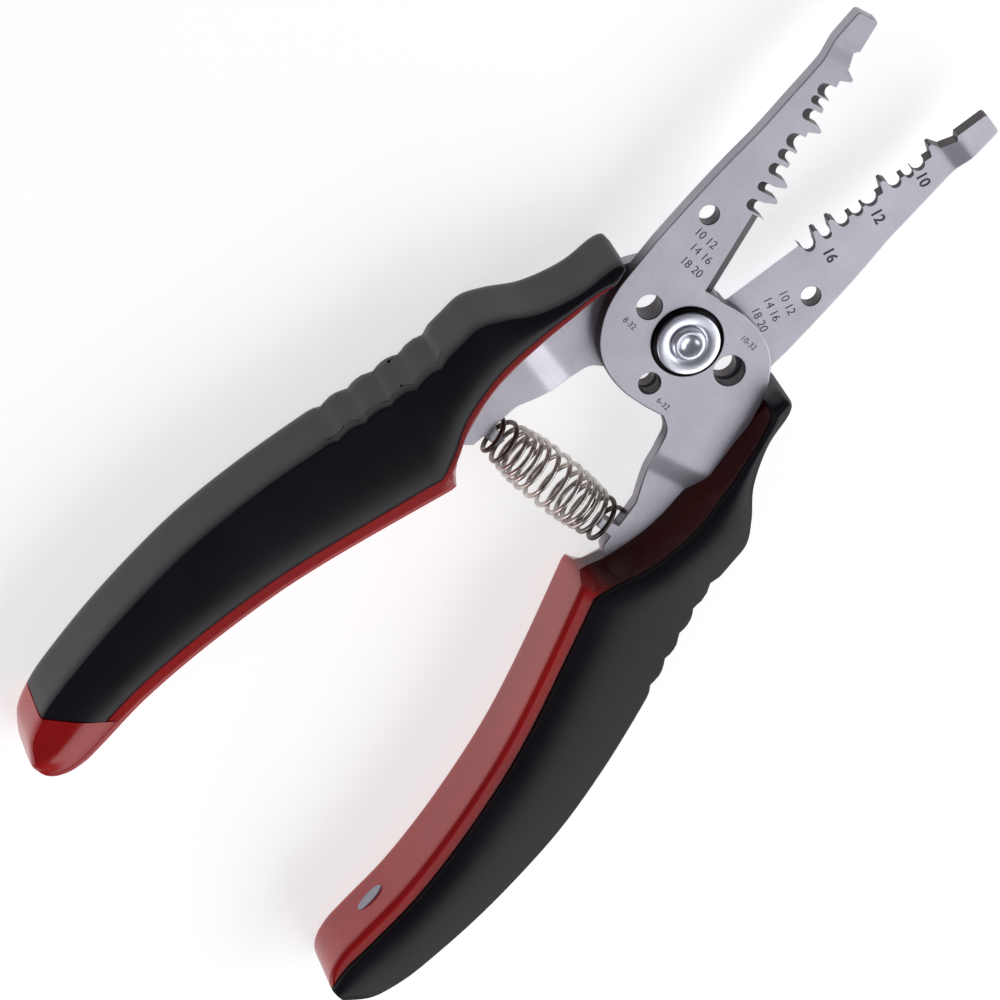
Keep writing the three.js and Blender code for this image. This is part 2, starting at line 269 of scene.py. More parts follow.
def weld(mesh: bpy.types.Mesh, distance: float) -> None:
    """Merges doubled points, drops faces without area and points the rest outwards."""
    work = bmesh.new()
    work.from_mesh(mesh)
    bmesh.ops.remove_doubles(work, verts=work.verts, dist=distance)
    bmesh.ops.dissolve_degenerate(work, edges=work.edges, dist=distance)
    bmesh.ops.recalc_face_normals(work, faces=work.faces)
    work.to_mesh(mesh)
    work.free()


def soften(mesh: bpy.types.Mesh, sharp: float) -> None:
    """Shades a mesh smooth, with a hard edge where faces meet at more than sharp degrees."""
    mesh.polygons.foreach_set("use_smooth", np.ones(len(mesh.polygons), bool))
    mesh.set_sharp_from_angle(angle=math.radians(sharp))


def lathed(profile: Array, segments: int) -> Array:
    """A profile of radius and height turned about Z: x = r cos a, y = r sin a, z = h."""
    a = np.linspace(0, 2 * math.pi, segments, endpoint=False)
    r, h = profile[:, :1], profile[:, 1:]
    return np.stack([r * np.cos(a), r * np.sin(a), np.broadcast_to(h, (len(profile), segments))], -1)


# ---------------------------------------------------------------- shading


class Sock:
    """One output of a finish's nodes; arithmetic on it adds Math nodes."""

    def __init__(self, shader: "Shader", socket: bpy.types.NodeSocket) -> None:
        """Wraps socket, which belongs to shader."""
        self.shader = shader
        self.socket = socket

    def math(self, operation: str, first: Any, second: Any = 0.0) -> "Sock":
        """A Math node of that operation on first and second."""
        return self.shader.node("ShaderNodeMath", {"operation": operation}, {0: first, 1: second})

    def __add__(self, other: Any) -> "Sock":
        """self + other."""
        return self.math("ADD", self, other)

    def __radd__(self, other: Any) -> "Sock":
        """other + self."""
        return self.math("ADD", other, self)

    def __sub__(self, other: Any) -> "Sock":
        """self - other."""
        return self.math("SUBTRACT", self, other)

    def __rsub__(self, other: Any) -> "Sock":
        """other - self."""
        return self.math("SUBTRACT", other, self)

    def __mul__(self, other: Any) -> "Sock":
        """self * other."""
        return self.math("MULTIPLY", self, other)

    def __rmul__(self, other: Any) -> "Sock":
        """other * self."""
        return self.math("MULTIPLY", other, self)

    def __pow__(self, other: Any) -> "Sock":
        """self ** other."""
        return self.math("POWER", self, other)

    def step(self, low: float, high: float) -> "Sock":
        """0 below low, 1 above high, smooth between them."""
        settings = {"interpolation_type": "SMOOTHSTEP"}
        return self.shader.node("ShaderNodeMapRange", settings, {"Value": self, 1: low, 2: high})


class Shader:
    """A material in the making: its nodes and its one Principled shader."""

    def __init__(self, name: str) -> None:
        """Starts a material with that name."""
        self.material = bpy.data.materials.new(name)
        self.material.use_nodes = True
        self.tree = self.material.node_tree
        self.surface = self.tree.nodes["Principled BSDF"]
        self.place = self.node("ShaderNodeTexCoord", {}, {}, "Object")

    def node(self, kind: str, settings: dict, inputs: dict, output: int | str = 0) -> Sock:
        """Adds a node.

        Args:
            kind: the node's type.
            settings: its properties, set before its sockets.
            inputs: a value or a Sock for each socket named or numbered.
            output: which output to return.

        Returns:
            The output, wrapped.
        """
        made = self.tree.nodes.new(kind)
        for key, value in settings.items():
            setattr(made, key, value)
        for key, value in inputs.items():
            self.feed(made.inputs[key], value)
        return Sock(self, made.outputs[output])

    def feed(self, socket: bpy.types.NodeSocket, value: Any) -> None:
        """Links a Sock to a socket, or sets a plain value on it."""
        if isinstance(value, Sock):
            self.tree.links.new(value.socket, socket)
        else:
            socket.default_value = value

    def stretched(self, scale: tuple[float, float, float], turn: float = 0.0) -> Sock:
        """Object coordinates turned about Z by turn radians, then scaled on each axis."""
        turned = self.node("ShaderNodeMapping", {}, {"Vector": self.place, "Rotation": (0, 0, turn)})
        return self.node("ShaderNodeMapping", {}, {"Vector": turned, "Scale": scale})

    def noise(self, scale: float, detail: float = 3.0, at: Sock | None = None) -> Sock:
        """Noise whose middle value is about a half."""
        inputs = {"Vector": at or self.place, "Scale": scale, "Detail": detail}
        return self.node("ShaderNodeTexNoise", {}, inputs, "Fac")

    def mark(self) -> Sock:
        """The number that the mesh carries where its finish is darkened: partly ground oxide, partly painted
        shade.
        """
        return self.node("ShaderNodeAttribute", {"attribute_name": "worked"}, {}, "Fac")

    def mix(self, factor: Any, first: Any, second: Any) -> Sock:
        """A colour that goes from first to second."""
        inputs = {0: factor, 6: first, 7: second}
        return self.node("ShaderNodeMix", {"data_type": "RGBA"}, inputs, 2)

    def bump(self, height: Sock, distance: float, strength: float = 1.0) -> Sock:
        """A normal from a height between 0 and 1 that stands for distance, in metres."""
        inputs = {"Height": height, "Distance": distance, "Strength": strength}
        return self.node("ShaderNodeBump", {}, inputs)

    def finish(self, inputs: dict) -> bpy.types.Material:
        """Feeds the Principled shader and returns the material."""
        for key, value in inputs.items():
            self.feed(self.surface.inputs[key], value)
        return self.material


def rgb(red: float, green: float, blue: float) -> tuple[float, float, float, float]:
    """An opaque colour from linear parts."""
    return (red, green, blue, 1.0)


@dataclass(frozen=True)
class SatinSteel:
    """Tumbled blade steel: a fine grain, faint rolling lines, and near-black walls, partly ground oxide and
    partly painted shade.
    """

    light: tuple = rgb(0.62, 0.605, 0.67)
    dark: tuple = rgb(0.48, 0.465, 0.525)
    # painted shade in part: the near-black that the jaw edge, the holes' walls and the wall round the boss
    # are darkened towards, partly ground oxide
    ground: tuple = rgb(0.035, 0.026, 0.029)
    roughness: float = 0.4
    grain: float = 5200.0  # per metre
    line_turn: float = 0.35

    def material(self) -> bpy.types.Material:
        """Builds the material."""
        s = Shader("satin_blade_steel")
        grain = s.noise(self.grain, 4.0)
        cloud = s.noise(120.0, 3.0)
        lines = s.noise(1.0, 2.0, s.stretched((260.0, 9000.0, 260.0), self.line_turn))
        # the mark mixes in that near-black: partly ground oxide, partly painted shade
        worked = s.mark()
        tone = (grain * 0.35 + cloud * 0.45 + lines * 0.3).step(0.3, 0.8)
        body = s.mix(tone, self.dark, self.light)
        height = grain * 0.6 + lines * 0.4
        return s.finish({
            "Base Color": s.mix(worked, body, self.ground),
            "Roughness": self.roughness + grain * 0.14 - cloud * 0.08,
            "Metallic": 0.94,
            "Normal": s.bump(height, 0.000012),
        })


@dataclass(frozen=True)
class MarkFill:
    """Dark oxide left in the engraved numbers."""

    colour: tuple = rgb(0.12, 0.112, 0.13)

    def material(self) -> bpy.types.Material:
        """Builds the material."""
        s = Shader("engraving_fill")
        speck = s.noise(6000.0, 3.0)
        return s.finish({
            "Base Color": s.mix(speck, self.colour, rgb(0.2, 0.19, 0.22)),
            "Roughness": 0.55 + speck * 0.2,
            "Metallic": 0.5,
        })


@dataclass(frozen=True)
class TurnedMetal:
    """Plated metal cut on a lathe: rings about the pivot, and a little haze.

    Args:
        name: the material's name.
        colour: the plate's colour.
        dull: the colour in its haze.
        roughness: how rough it is where it is clean.
        rings: rings per metre of radius.
        centre: the lathe's axis in the row frame, in metres.
    """

    name: str
    colour: tuple
    dull: tuple
    roughness: float
    rings: float
    centre: tuple[float, float, float]

    def material(self) -> bpy.types.Material:
        """Builds the material."""
        s = Shader(self.name)
        back = tuple(-c for c in self.centre)
        from_axis = s.node("ShaderNodeMapping", {}, {"Vector": s.place, "Location": back})
        flat = s.node("ShaderNodeVectorMath", {"operation": "MULTIPLY"}, {0: from_axis, 1: (1, 1, 0)})
        radius = s.node("ShaderNodeVectorMath", {"operation": "LENGTH"}, {0: flat}, "Value")
        wave = (radius * self.rings * 2 * math.pi).math("SINE", radius * self.rings * 2 * math.pi)
        haze = s.noise(900.0, 4.0)
        pits = s.noise(4200.0, 2.0).step(0.62, 0.72)
        return s.finish({
            "Base Color": s.mix(haze.step(0.45, 0.75), self.colour, self.dull),
            "Roughness": self.roughness + haze * 0.16 + pits * 0.12,
            "Metallic": 0.96,
            "Normal": s.bump(wave * 0.2 + haze * 0.3 - pits * 0.2, 0.000004),
        })


@dataclass(frozen=True)
class SpringWire:
    """Nickel plated wire with drawing lines, browned patches, and painted shade at its ends."""

    bright: tuple = rgb(0.62, 0.585, 0.56)
    brown: tuple = rgb(0.2, 0.16, 0.145)
    # painted shade: the dark brown that the coil's ends are darkened to, where they sit in the seats
    painted_end_shade: tuple = rgb(0.085, 0.068, 0.062)

    def material(self) -> bpy.types.Material:
        """Builds the material."""
        s = Shader("drawn_spring_wire")
        patch = s.noise(700.0, 3.0)
        fine = s.noise(9000.0, 2.0)
        coil = s.mix((patch * 0.8 + fine * 0.35).step(0.42, 0.9), self.bright, self.brown)
        return s.finish({
            "Base Color": s.mix(s.mark(), coil, self.painted_end_shade),
            "Roughness": 0.2 + fine * 0.14,
            "Metallic": 1.0,
            "Normal": s.bump(fine, 0.000006),
        })


@dataclass(frozen=True)
class GlossPlastic:
    """Glossy moulded plastic: an even colour with faint flow marks, a very slight orange peel, and painted
    shade on the web in the throat.
    """

    name: str = "gloss_red_plastic"
    colour: tuple = rgb(0.46, 0.002, 0.003)
    deep: tuple = rgb(0.34, 0.0012, 0.0018)
    painted_shade_colour: tuple = rgb(0.022, 0.0006, 0.001)  # painted shade on the thin web over the steel in the throat
    roughness: float = 0.2

    def material(self) -> bpy.types.Material:
        """Builds the material."""
        s = Shader(self.name)
        flow = s.noise(60.0, 3.0, s.stretched((1.0, 0.25, 1.0)))
        peel = s.noise(900.0, 2.0)
        rub = s.noise(2600.0, 4.0).step(0.58, 0.8)
        return s.finish({
            "Base Color": s.mix(s.mark(), s.mix(flow.step(0.35, 0.75), self.colour, self.deep), self.painted_shade_colour),
            "Roughness": self.roughness + rub * 0.16 + flow * 0.06,
            "Normal": s.bump(peel + rub * 0.2, 0.00001),
        })


@dataclass(frozen=True)
class SoftGrip:
    """Black soft-touch moulding: spark-eroded grain, dusty where a hand rubs it."""

    colour: tuple = rgb(0.005, 0.0045, 0.0075)
    dusty: tuple = rgb(0.010, 0.0092, 0.0145)
    roughness: float = 0.25

    def material(self) -> bpy.types.Material:
        """Builds the material."""
        s = Shader("black_soft_grip")
        grain = s.noise(5200.0, 3.0)
        cloud = s.noise(90.0, 4.0)
        return s.finish({
            "Base Color": s.mix((cloud * 0.7 + grain * 0.4).step(0.4, 0.85), self.colour, self.dusty),
            "Roughness": self.roughness + grain * 0.08 + cloud * 0.06,
            "Specular IOR Level": 0.24,
            "Normal": s.bump(grain + cloud * 0.4, 0.000012),
        })


@dataclass(frozen=True)
class BadgeGrey:
    """Satin grey blank with a fine brushed line."""

    colour: tuple = rgb(0.4, 0.42, 0.5)

    def material(self) -> bpy.types.Material:
        """Builds the material."""
        s = Shader("grey_badge_blank")
        brush = s.noise(1.0, 3.0, s.stretched((400.0, 400.0, 9000.0)))
        return s.finish({
            "Base Color": s.mix(brush, self.colour, rgb(0.24, 0.25, 0.31)),
            "Roughness": 0.3 + brush * 0.15,
            "Metallic": 0.35,
            "Normal": s.bump(brush, 0.000008),
        })


def show(mesh: bpy.types.Mesh, materials: Sequence[bpy.types.Material], body: str | None,
         slot: str, *stands_for: str) -> bpy.types.Object:
    """Makes a mesh a piece of the object.

    Args:
        mesh: the mesh, in the row frame in metres; its name is the piece's.
        materials: its finishes; a mesh that already has slots keeps them.
        body: the body that it rides on, or None for a piece on no body.
        slot: the record's material slot; not used.
        stands_for: the CAD nodes that it replaces.

    Returns:
        The piece.
    """
    piece = bpy.data.objects.new(mesh.name, mesh)
    bpy.context.scene.collection.objects.link(piece)
    if not mesh.materials:
        for material in materials:
            mesh.materials.append(material)
    if body:
        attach(piece, body)
    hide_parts(*stands_for)
    LOG.info("%s: %d faces", mesh.name, len(mesh.polygons))
    return piece


def settle(mesh: bpy.types.Mesh, stance: Stance, lever: Lever) -> bpy.types.Mesh:
    """Moves a mesh from a lever's frame, in mm, to the row frame, in metres."""
    co = np.empty(len(mesh.vertices) * 3, np.float32)
    mesh.vertices.foreach_get("co", co)
    placed = stance.place(co.reshape(-1, 3).astype(float), lever)
    mesh.vertices.foreach_set("co", placed.astype(np.float32).ravel())
    mesh.update()
    return mesh


# ---------------------------------------------------------------- blades


@dataclass
class BladePlate:
    """The stamped plate of one lever: plier nose, stripping notches, cutter, pivot boss and tang."""

    thickness: float = 3.0
    gap: float = 0.15  # half the gap between the plates
    nose_y: float = 62.0
    nose_bend: tuple = (52.6, 55.9)
    shank_bend: tuple = (-19.2, -23.2)
    edge_x: float = -0.9
    tooth_x: float = 0.7
    tooth_y: tuple = (51.5, 41.5, 30.8, 27.7)
    notch_x: float = -2.0
    notches: tuple = ((48.1, 1.15), (46.0, 0.75), (43.3, 1.05), (38.3, 1.3), (35.5, 0.95),
                      (32.6, 1.05), (29.1, 0.85), (25.6, 1.05))
    land: float = 1.6  # height of the straight wall under a notch's relief
    flare: float = 2.0  # how far the relief runs back at the outer face
    blade_x: float = 0.35
    blade_y: tuple = (9.0, 24.2)
    grind: float = 2.4
    edge_radius: float = 0.22
    bore: float = 3.08
    recess: tuple = (6.2, 0.9)  # radius and depth
    loop_hole: tuple = (-8.6, 20.8, 1.7)
    shear_r: float = 9.4
    shear_holes: tuple = ((165.2, 2.2), (-101.3, 1.9), (-7.8, 2.7))
    seat_r: float = 36.0
    seat_angle: float = math.radians(24.2)
    spur: tuple = (1.2, 3.2)  # half width and length
    levels: tuple = (0.25, 0.45, 0.65, 0.85)  # extra rings up a countersink, as shares of its height
    jaw_marks: tuple = (("10", 47.2), ("12", 37.6), ("16", 27.4))
    base_marks: tuple = (("10 12", -6.9, 17.0), ("14 16", -6.2, 14.3), ("18 20", -6.4, 11.6))
    shear_marks: tuple = (("8-32", -10.6, -1.6), ("6-32", 2.2, -11.4), ("10-32", 9.6, 4.4))
    mark_depth: float = 0.16
    cutter_half: float = 0.3  # half the height of a number's cutter
    face_step: float = 1.1  # spacing of the points inside a flat face
    bend_step: float = 0.32  # and where the sheet bends
    face_margin: float = 0.4  # how near an edge such a point may lie
    wall_dark: float = 0.95  # how dark the jaw edge and the holes' walls are made: partly ground oxide, partly painted shade

    def middle(self, y: Array) -> Array:
        """Height of the sheet's middle: stepped up between the two bends, each corner rounded.

        A ramp with rounded corners is half of 1 + sqrt(t^2 + k^2) - sqrt((t - 1)^2 + k^2).
        """
        k = 0.16
        up = self.gap + self.thickness / 2

        def ramp(start: float, stop: float) -> Array:
            """0 before start, 1 after stop, straight between them, with rounded corners."""
            t = (y - start) / (stop - start)
            return 0.5 * (1 + np.sqrt(t * t + k * k) - np.sqrt((t - 1) ** 2 + k * k))

        return up * np.clip(ramp(self.shank_bend[1], self.shank_bend[0])
                            - ramp(self.nose_bend[0], self.nose_bend[1]), 0, 1)

    def teeth(self) -> Array:
        """The guide teeth on the jaw edge, nose first."""
        shape = np.array([[self.edge_x, 1.3], [self.tooth_x, 0.25], [self.tooth_x, -0.25],
                          [self.edge_x - 0.3, -0.9]])
        lifted = shape[None] + np.array([[[0.0, y]] for y in self.tooth_y])
        return lifted.reshape(-1, 2)

    def seat(self, half_open: float) -> Array:
        """The spring's seat on the shank's inner edge, with the spur that stands inside the coil."""
        angle = self.seat_angle - half_open - math.pi / 2
        at = self.seat_r * np.array([math.cos(angle), math.sin(angle)])
        lean = half_open / 2
        along = np.array([-math.cos(lean), math.sin(lean)])
        across = np.array([along[1], -along[0]])
        half, length = self.spur
        local = np.array([[0, -3.4], [0, -half], [length, -half * 0.7], [length, half * 0.7],
                          [0, half], [0, 4.2]])
        return at + local[:, :1] * along + local[:, 1:] * across

    def tang(self) -> Array:
        """The tang, down its outer side and back up to the spring's seat."""
        return np.array([[17.6, -4], [17.9, -12], [19.3, -22], [20.4, -30], [20.4, -60], [19.2, -80],
                         [17, -94], [13, -94], [12.6, -80], [11.6, -60], [9.8, -48], [9, -40.5]])

    def outline(self, half_open: float) -> tuple[Array, Array]:
        """The plate seen from above, and which of its points lie on the worked jaw edge."""
        nose, bend = self.nose_y, self.nose_bend
        worked = np.vstack([
            arc((-0.75, nose - 0.6), 0.6, 90, 0, 5),
            [[-0.15, bend[1] + 0.2], [-1.1, bend[1] - 0.4], [self.edge_x, bend[0] + 0.6]],
            self.teeth(),
            [[self.edge_x, self.blade_y[1] + 0.4], [self.blade_x, self.blade_y[1]],
             [self.blade_x, self.blade_y[0]]],
        ])
        rest = np.vstack([
            spline([(1.4, 8.7), (6, 8.4), (11, 6.7), (14.6, 3.8), (16.6, 0)], 20),
            self.tang(),
            self.seat(half_open),
            spline([(8.2, -29), (7.0, -24.5), (5.9, -19), (5.4, -15.4), (3.4, -13.3)], 22),
            spline([(0, -13.2), (-5, -12.5), (-9.6, -10.6), (-13, -7.4), (-15.1, -2.6),
                    (-15.6, 2.4), (-15, 7.4)], 34),
            spline([(-14.2, 13), (-12.4, 22), (-10.6, 30), (-8.8, 37), (-7.2, 45), (-6, 51),
                    (-5.2, 56)], 20),
            arc((-3.5, nose - 0.7), 0.7, 180, 90, 5),
        ])
        fine = resampled(worked, 0.08, False)
        coarse = resampled(np.vstack([worked[-1:], rest, worked[:1]]), 0.45, False)[1:-1]
        flags = np.concatenate([np.ones(len(fine)), np.zeros(len(coarse))])
        return np.vstack([fine, coarse])[::-1], flags[::-1]

    def cut_edge(self, base: Array, worked: Array, z: float) -> Array:
        """The outline at height z: above the land each notch runs back as a leaning round slot.

        The cutter leans back as a flat grind over the whole thickness.
        """
        top = self.gap + self.thickness
        up = float(np.clip((z - self.land) / (top - self.land), 0, 1))
        x, y = base[:, 0].copy(), base[:, 1]
        for centre_y, radius in self.notches:
            off = np.abs(y - centre_y)
            back = self.notch_x - self.flare * up
            left = back + radius - np.sqrt(np.maximum(radius**2 - off**2, 0))
            x = np.where((worked > 0) & (off < radius), np.minimum(x, left), x)
        low, high = self.blade_y
        ground = (worked > 0) & (y >= low - 0.01) & (y <= high + 0.01)
        lean = float(np.clip((z - self.gap) / (top - self.gap), 0, 1))
        x = np.where(ground, self.blade_x - self.grind * lean, x)
        return np.stack([x, y], 1)

    def sheared(self, base: Array) -> Array:
        """How dark the sheared wall is: most round the boss, as painted shade with some oxide, and less
        elsewhere.
        """
        away = np.hypot(base[:, 0], base[:, 1])
        return 0.42 + 0.5 * (1 - smoothstep(away, 16.0, 20.0)) * (base[:, 0] < 6)

    def rings(self, half_open: float) -> tuple[list[Array], list[float]]:
        """The outline at each level from the meeting face to the outer face, and how dark each is, partly
        ground oxide and partly painted shade.
        """
        base, worked = self.outline(half_open)
        ahead, behind = np.roll(base, -1, 0), np.roll(base, 1, 0)
        along = ahead - behind
        along /= np.maximum(np.linalg.norm(along, axis=1, keepdims=True), 1e-9)
        inward = np.stack([along[:, 1], -along[:, 0]], 1)
        if (np.cross(base, ahead)).sum() > 0:
            inward = -inward
        plain = 1 - worked
        fade = np.convolve(np.concatenate([plain[-4:], plain, plain[:4]]), np.ones(9) / 9, "valid")
        radius = (self.edge_radius * np.minimum(fade, plain))[:, None]
        e, t = self.edge_radius, self.thickness
        rise = self.land - self.gap
        heights = [(0.0, 1.0), (CORNER * e, CORNER), (e, 0.0), (rise, 0.0)]
        heights += [(rise + (t - rise) * k, 0.0) for k in self.levels]
        heights += [(t - e, 0.0), (t - CORNER * e, CORNER), (t, 1.0)]
        made, tones = [], []
        for h, share in heights:
            flat = self.cut_edge(base, worked, self.gap + h) + inward * radius * share
            z = self.middle(flat[:, 1]) - t / 2 + h
            made.append(np.column_stack([flat, z]))
            inner = 0.0 if h in (0.0, t) else 1.0
            # painted shade in part: the walls between the two faces are darkened, most on the jaw edge and
            # round the boss
            tones.append(inner * np.where(worked > 0, self.wall_dark, self.sheared(base)))
        return made, tones

    def hole(self, x: float, y: float, steps: Sequence[tuple[float, float]], count: int) -> Array:
        """A hole's wall: circles whose radius changes with the height above the meeting face."""
        rows = [arc((x, y), radius, 0, 360 - 360 / count, count) for radius, _ in steps]
        flat = np.stack(rows)
        z = self.middle(flat[..., 1]) - self.thickness / 2 + np.array([h for _, h in steps])[:, None]
        return np.concatenate([flat, z[..., None]], -1)

    def holes(self) -> list[Array]:
        """Every hole's wall, its edges broken by a small rounded chamfer."""
        e, t = 0.16, self.thickness
        spots = [self.loop_hole]
        for angle, radius in self.shear_holes:
            a = math.radians(angle)
            spots.append((self.shear_r * math.cos(a), self.shear_r * math.sin(a), radius))
        made = []
        for x, y, r in spots:
            steps = [(r + e, 0), (r + CORNER * e, CORNER * e), (r, e), (r, t / 2), (r, t - e),
                     (r + CORNER * e, t - CORNER * e), (r + e, t)]
            made.append(self.hole(x, y, steps, 56))
        r, (wide, deep) = self.bore, self.recess
        steps = [(r + e, 0), (r, e), (r, t - deep), (wide - 0.3, t - deep), (wide, t - deep + 0.2),
                 (wide, t - e), (wide + CORNER * e, t - CORNER * e), (wide + e, t)]
        made.append(self.hole(0, 0, steps, 96))
        return made

    def face(self, ring: Array, holes: list[Array], h: float) -> tuple[Array, Array]:
        """One flat face: its ring and holes joined by Delaunay triangles, with points in between."""
        step = self.face_step
        nose, shank = (np.arange(low, high, self.bend_step) for low, high in ((50.6, 57.6), (-26.0, -16.8)))
        rows = np.concatenate([np.arange(-93, -26, 2.0), shank, np.arange(-16.5, 50.5, step), nose,
                               np.arange(58, 62, step)])
        x, y = np.meshgrid(np.arange(-16, 21, step), rows)
        seeds = np.column_stack([x.ravel(), y.ravel()])
        seeds = seeds[inside(seeds, ring)]
        loops = [ring, *holes]
        near = np.min([distance_to(seeds, np.vstack([loop, loop[:1]])) for loop in loops], 0)
        keep = near > self.face_margin
        for loop in holes:
            keep &= ~inside(seeds, loop)
        points, edges, start = [], [], 0
        for loop in loops:
            n = np.arange(len(loop))
            edges.append(np.stack([n, (n + 1) % len(loop)], 1) + start)
            points.append(loop)
            start += len(loop)
        points.append(seeds[keep])
        flat = np.vstack(points)
        made = delaunay_2d_cdt([tuple(p) for p in flat], np.vstack(edges).tolist(), [], 0, 1e-7)
        corners = np.array([tuple(v) for v in made[0]])
        faces = np.array([f for f in made[2] if len(f) == 3])
        middle = corners[faces].mean(1)
        shown = inside(middle, ring)
        for loop in holes:
            shown &= ~inside(middle, loop)
        z = self.middle(corners[:, 1]) - self.thickness / 2 + h
        return np.column_stack([corners, z]), faces[shown]

    def blank(self, half_open: float) -> bpy.types.Mesh:
        """The plate before it is engraved, in the lever's frame."""
        rings, tones = self.rings(half_open)
        holes = self.holes()
        skin = Skin().grid(np.stack(rings), np.stack(tones))
        for wall in holes:
            # painted shade in part: the holes' walls are darkened like the jaw edge
            dark = np.zeros(wall.shape[:2])
            dark[1:-1] = self.wall_dark
            skin.grid(wall, dark)
        for level, h in ((0, 0.0), (-1, self.thickness)):
            skin.triangles(*self.face(rings[level][:, :2], [wall[level][:, :2] for wall in holes], h))
        return skin.mesh("blade_blank", 14.0)

    def digits(self, text: str, place: tuple[float, float, float], size: float, turn: float,
               below: bool, weight: float = 0.0) -> bpy.types.Mesh:
        """A number as a cutter that reaches mark_depth into a face.

        Args:
            text: the number.
            place: its middle, on the face.
            size: its height as type.
            turn: its turn about Z, in radians.
            below: whether the face looks down.
            weight: how much bolder than the plain type, in mm.

        Returns:
            The cutter's mesh, in the lever's frame.
        """
        curve = bpy.data.curves.new("digits", "FONT")
        curve.body, curve.size, curve.extrude = text, size, self.cutter_half
        curve.align_x, curve.align_y = "CENTER", "CENTER"
        curve.resolution_u = 4
        curve.offset = weight
        holder = bpy.data.objects.new("digits", curve)
        bpy.context.scene.collection.objects.link(holder)
        made = bpy.data.meshes.new_from_object(holder.evaluated_get(bpy.context.evaluated_depsgraph_get()))
        bpy.data.objects.remove(holder)
        side = -1.0 if below else 1.0
        made.transform(Matrix.Diagonal((side, 1, side, 1)))
        made.transform(Matrix.Rotation(turn, 4, "Z"))
        lift = side * (self.cutter_half - self.mark_depth)
        made.transform(Matrix.Translation((place[0], place[1], place[2] + lift)))
        return made

    def engraved(self, half_open: float, fill: bpy.types.Material,
                 steel: bpy.types.Material) -> bpy.types.Mesh:
        """The plate with its wire sizes cut into both faces and its screw sizes into the outer one."""
        top, low = self.gap + self.thickness, self.gap
        cutters = []
        for text, y in self.jaw_marks:
            place = (-3.4 - 0.05 * (50 - y), y, low)
            cutters.append(self.digits(text, place, 2.7, 0.15, True, 0.07))
        for text, x, y in self.base_marks:
            cutters.append(self.digits(text, (x, y, top), 2.1, -0.25, False))
            cutters.append(self.digits(text, (x, y, low), 2.1, 0.2, True))
        for text, x, y in self.shear_marks:
            cutters.append(self.digits(text, (x, y, top), 1.5, -0.25, False))
        joined = bmesh.new()
        for mesh in cutters:
            joined.from_mesh(mesh)
        cutter = bpy.data.meshes.new("cutter")
        bmesh.ops.remove_doubles(joined, verts=joined.verts, dist=1e-4)
        bmesh.ops.recalc_face_normals(joined, faces=joined.faces)
        joined.to_mesh(cutter)
        joined.free()
        cutter.materials.append(fill)
        blank = self.blank(half_open)
        blank.materials.append(steel)
        plate = bpy.data.objects.new("plate", blank)
        tool = bpy.data.objects.new("tool", cutter)
        for thing in (plate, tool):
            bpy.context.scene.collection.objects.link(thing)
        cut = plate.modifiers.new("engrave", "BOOLEAN")
        cut.operation, cut.solver, cut.object = "DIFFERENCE", "EXACT", tool
        cut.material_mode = "TRANSFER"
        made = bpy.data.meshes.new_from_object(plate.evaluated_get(bpy.context.evaluated_depsgraph_get()))
        for thing in (plate, tool):
            bpy.data.objects.remove(thing)
        soften(made, 14.0)
        return made


@dataclass
class Blades:
    """Both blade levers, which are one stamping used twice."""

    stance: Stance
    plate: BladePlate = field(default_factory=BladePlate)

    def build(self) -> None:
        """Builds both plates."""
        steel, fill = SatinSteel().material(), MarkFill().material()
        master = self.plate.engraved(self.stance.half_open, fill, steel)
        for name, body, lever in (("upper_blade", "upper_lever", Lever.UPPER),
                                  ("lower_blade", "lower_lever", Lever.LOWER)):
            mesh = master.copy()
            mesh.name = name + "_finished"
            show(settle(mesh, self.stance, lever), [steel, fill], body, "blade_steel", name)


# ---------------------------------------------------------------- pivot


